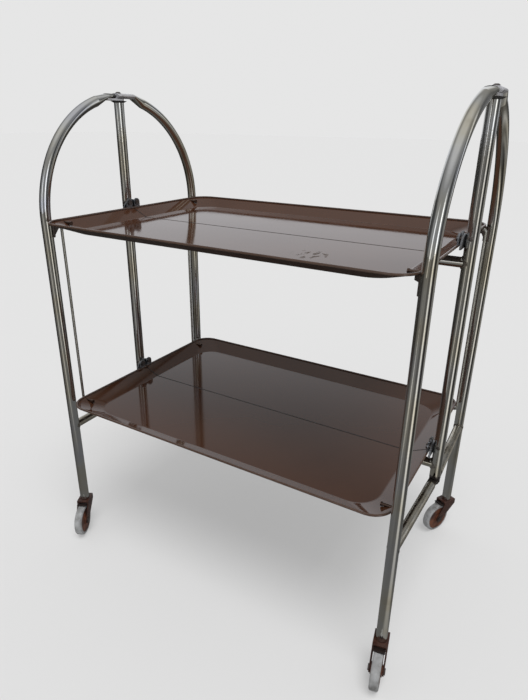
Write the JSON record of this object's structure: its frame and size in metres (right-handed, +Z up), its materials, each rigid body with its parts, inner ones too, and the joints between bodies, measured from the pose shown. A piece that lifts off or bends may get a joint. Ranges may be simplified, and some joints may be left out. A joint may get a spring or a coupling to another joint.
{
  "type": "tea trolley",
  "caption": "Serving trolley with an upper and a lower split tray held between posts, arched tube legs that swing about the posts, tray leaves that lift, and swivel casters.",
  "frame": {"origin": "on the floor below the middle of the trolley", "axes": "+X along the trays from the left post to the right post, +Y from the front to the back, +Z up"},
  "size_m": [0.623, 0.4612, 0.7627],
  "materials": {
    "plated_tube": "bright plated steel tube, tarnished in places",
    "tray_enamel": "gloss dark brown stoved enamel on sheet steel",
    "lug_steel": "dull zinc",
    "hinge_steel": "dull bluish zinc",
    "fastener_steel": "dull steel",
    "rod_steel": "thin drawn wire, dull bright",
    "rest_enamel": "dark enamel",
    "plug_plastic": "black moulding",
    "fork_enamel": "dark red-brown enamel",
    "hub_enamel": "red-brown enamel",
    "tyre_rubber": "grey rubber"
  },
  "bodies": {
    "frame": {"left_post": "plated_tube", "left_post_plug": "plug_plastic", "left_head_pin": "fastener_steel", "left_foot_pin": "fastener_steel", "right_post": "plated_tube", "right_post_plug": "plug_plastic", "right_head_pin": "fastener_steel", "right_foot_pin": "fastener_steel", "upper_stretcher": "plated_tube", "upper_left_hinge_plate": "hinge_steel", "upper_right_hinge_plate": "hinge_steel", "lower_stretcher": "plated_tube", "lower_left_hinge_plate": "hinge_steel", "lower_right_hinge_plate": "hinge_steel", "hinge_plate_rivets": "fastener_steel", "leaf_pivot_pins": "fastener_steel"},
    "front_left_gate": {"front_left_leg": "plated_tube", "front_left_arm": "plated_tube", "front_left_leaf_rest": "rest_enamel", "front_left_caster_stem": "fastener_steel", "front_left_arch_tab": "fastener_steel", "front_left_arm_lap": "fastener_steel"},
    "front_left_caster": {"front_left_caster_fork": "fork_enamel", "front_left_caster_axle": "fastener_steel"},
    "front_left_wheel": {"front_left_wheel_hub": "hub_enamel", "front_left_tyre": "tyre_rubber"},
    "front_right_gate": {"front_right_leg": "plated_tube", "front_right_arm": "plated_tube", "front_right_leaf_rest": "rest_enamel", "front_right_caster_stem": "fastener_steel", "front_right_arch_tab": "fastener_steel", "front_right_arm_lap": "fastener_steel"},
    "front_right_caster": {"front_right_caster_fork": "fork_enamel", "front_right_caster_axle": "fastener_steel"},
    "front_right_wheel": {"front_right_wheel_hub": "hub_enamel", "front_right_tyre": "tyre_rubber"},
    "back_left_gate": {"back_left_leg": "plated_tube", "back_left_arm": "plated_tube", "back_left_leaf_rest": "rest_enamel", "back_left_caster_stem": "fastener_steel", "back_left_arch_end": "plated_tube", "back_left_arm_lap": "fastener_steel"},
    "back_left_caster": {"back_left_caster_fork": "fork_enamel", "back_left_caster_axle": "fastener_steel"},
    "back_left_wheel": {"back_left_wheel_hub": "hub_enamel", "back_left_tyre": "tyre_rubber"},
    "back_right_gate": {"back_right_leg": "plated_tube", "back_right_arm": "plated_tube", "back_right_leaf_rest": "rest_enamel", "back_right_caster_stem": "fastener_steel", "back_right_arch_end": "plated_tube", "back_right_arm_lap": "fastener_steel"},
    "back_right_caster": {"back_right_caster_fork": "fork_enamel", "back_right_caster_axle": "fastener_steel"},
    "back_right_wheel": {"back_right_wheel_hub": "hub_enamel", "back_right_tyre": "tyre_rubber"},
    "upper_front_leaf": {"upper_front_leaf": "tray_enamel", "upper_front_leaf_lugs": "lug_steel"},
    "lower_front_leaf": {"lower_front_leaf": "tray_enamel", "lower_front_leaf_lugs": "lug_steel"},
    "front_tie_rods": {"front_tie_rods": "rod_steel"},
    "upper_back_leaf": {"upper_back_leaf": "tray_enamel", "upper_back_leaf_lugs": "lug_steel"},
    "lower_back_leaf": {"lower_back_leaf": "tray_enamel", "lower_back_leaf_lugs": "lug_steel"},
    "back_tie_rods": {"back_tie_rods": "rod_steel"}
  },
  "joints": [
    {"name": "front_left_gate_swing", "type": "hinge", "parent": "frame", "child": "front_left_gate", "pos_m": [-0.298, 0, 0.217], "axis": [0, 0, -1], "range_deg": [0, 72]},
    {"name": "front_left_caster_swivel", "type": "hinge", "parent": "front_left_gate", "child": "front_left_caster", "pos_m": [-0.29297, -0.17993, 0.0585], "axis": [0, 0, 1], "continuous": true},
    {"name": "front_left_wheel_roll", "type": "hinge", "parent": "front_left_caster", "child": "front_left_wheel", "pos_m": [-0.28139, -0.20083, 0.027], "axis": [0.8746, 0.4848, 0], "continuous": true},
    {"name": "front_right_gate_swing", "type": "hinge", "parent": "frame", "child": "front_right_gate", "pos_m": [0.298, 0, 0.217], "axis": [0, 0, 1], "range_deg": [0, 72]},
    {"name": "front_right_caster_swivel", "type": "hinge", "parent": "front_right_gate", "child": "front_right_caster", "pos_m": [0.29297, -0.17993, 0.0585], "axis": [0, 0, 1], "continuous": true},
    {"name": "front_right_wheel_roll", "type": "hinge", "parent": "front_right_caster", "child": "front_right_wheel", "pos_m": [0.29753, -0.20339, 0.027], "axis": [0.9816, 0.1908, 0], "continuous": true},
    {"name": "back_left_gate_swing", "type": "hinge", "parent": "frame", "child": "back_left_gate", "pos_m": [-0.298, 0, 0.217], "axis": [0, 0, 1], "range_deg": [0, 72]},
    {"name": "back_left_caster_swivel", "type": "hinge", "parent": "back_left_gate", "child": "back_left_caster", "pos_m": [-0.29297, 0.17993, 0.0585], "axis": [0, 0, 1], "continuous": true},
    {"name": "back_left_wheel_roll", "type": "hinge", "parent": "back_left_caster", "child": "back_left_wheel", "pos_m": [-0.29753, 0.20339, 0.027], "axis": [-0.9816, -0.1908, 0], "continuous": true},
    {"name": "back_right_gate_swing", "type": "hinge", "parent": "frame", "child": "back_right_gate", "pos_m": [0.298, 0, 0.217], "axis": [0, 0, -1], "range_deg": [0, 72]},
    {"name": "back_right_caster_swivel", "type": "hinge", "parent": "back_right_gate", "child": "back_right_caster", "pos_m": [0.29297, 0.17993, 0.0585], "axis": [0, 0, 1], "continuous": true},
    {"name": "back_right_wheel_roll", "type": "hinge", "parent": "back_right_caster", "child": "back_right_wheel", "pos_m": [0.28175, 0.15883, 0.027], "axis": [0.8829, -0.4695, 0], "continuous": true},
    {"name": "upper_front_leaf_lift", "type": "hinge", "parent": "frame", "child": "upper_front_leaf", "pos_m": [0, -0.009, 0.585], "axis": [-1, 0, 0], "range_deg": [0, 88]},
    {"name": "lower_front_leaf_lift", "type": "hinge", "parent": "frame", "child": "lower_front_leaf", "pos_m": [0, -0.009, 0.275], "axis": [-1, 0, 0], "range_deg": [0, 88]},
    {"name": "front_tie_rod_hang", "type": "hinge", "parent": "upper_front_leaf", "child": "front_tie_rods", "pos_m": [0, -0.157, 0.5715], "axis": [-1, 0, 0], "range_deg": [-88, 0]},
    {"name": "upper_back_leaf_lift", "type": "hinge", "parent": "frame", "child": "upper_back_leaf", "pos_m": [0, 0.009, 0.585], "axis": [1, 0, 0], "range_deg": [0, 88]},
    {"name": "lower_back_leaf_lift", "type": "hinge", "parent": "frame", "child": "lower_back_leaf", "pos_m": [0, 0.009, 0.275], "axis": [1, 0, 0], "range_deg": [0, 88]},
    {"name": "back_tie_rod_hang", "type": "hinge", "parent": "upper_back_leaf", "child": "back_tie_rods", "pos_m": [0, 0.157, 0.5715], "axis": [1, 0, 0], "range_deg": [-88, 0]}
  ],
  "couplings": [
    {"joint": "lower_front_leaf_lift", "follows": "upper_front_leaf_lift", "ratio": 1},
    {"joint": "front_tie_rod_hang", "follows": "upper_front_leaf_lift", "ratio": -1},
    {"joint": "lower_back_leaf_lift", "follows": "upper_back_leaf_lift", "ratio": 1},
    {"joint": "back_tie_rod_hang", "follows": "upper_back_leaf_lift", "ratio": -1}
  ]
}
